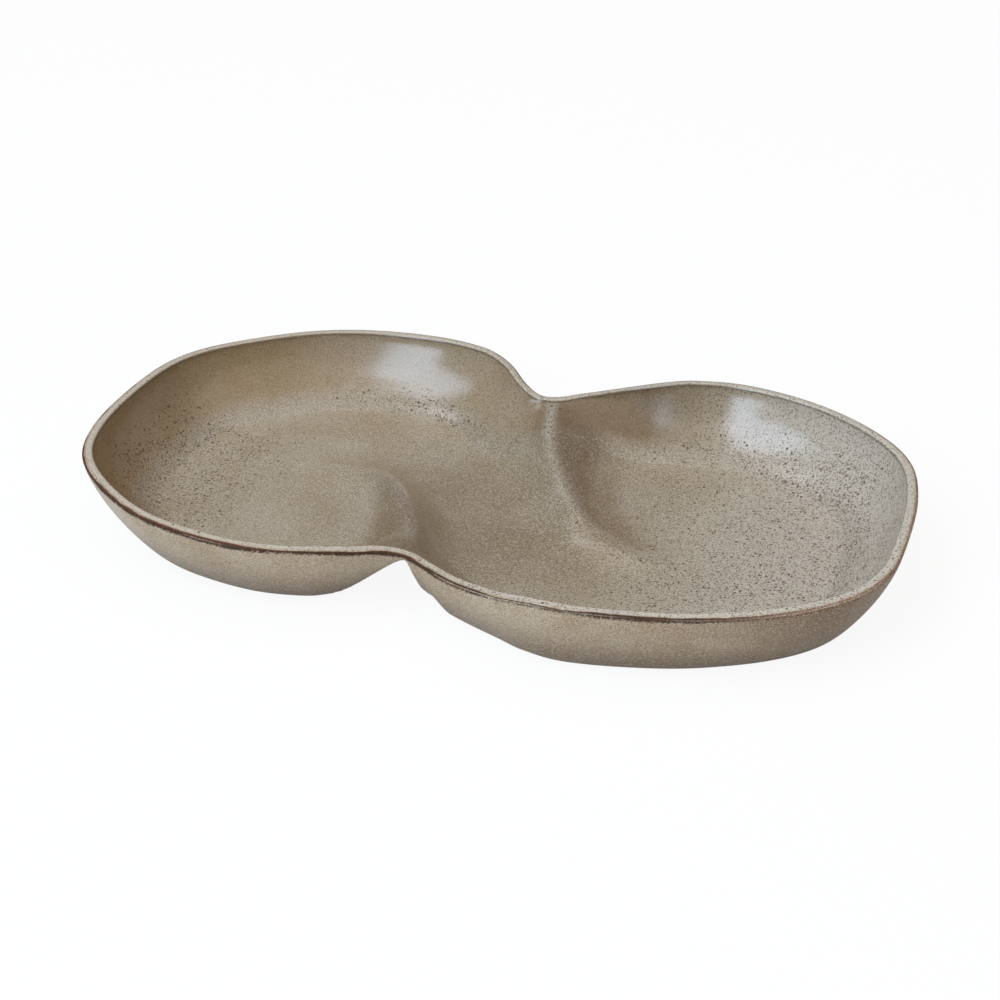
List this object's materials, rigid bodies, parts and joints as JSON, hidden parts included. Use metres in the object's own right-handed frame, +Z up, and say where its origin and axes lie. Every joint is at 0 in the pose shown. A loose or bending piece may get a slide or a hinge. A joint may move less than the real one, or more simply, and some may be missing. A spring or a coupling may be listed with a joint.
{
  "type": "olive dish",
  "caption": "Shallow glazed stoneware serving dish: a pair of rounded bowls meeting at a pinched waist, with swirling ridges between them, for olives, dips or nuts.",
  "frame": {"origin": "on the table under the middle of the dish's box, at the level of the bare foot", "axes": "+X along the dish over both bowls, +Y across it to the far side, +Z up out of the bowls"},
  "size_m": [0.2694, 0.162, 0.026],
  "materials": {
    "stoneware_clay": "matt fired stoneware, red-brown",
    "inner_glaze": "satin speckled reactive glaze, grey-brown",
    "outer_glaze": "satin speckled reactive glaze, pale grey-brown"
  },
  "bodies": {
    "root": {"clay_body": "stoneware_clay", "inner_glaze": "inner_glaze", "outer_glaze": "outer_glaze"}
  },
  "joints": []
}
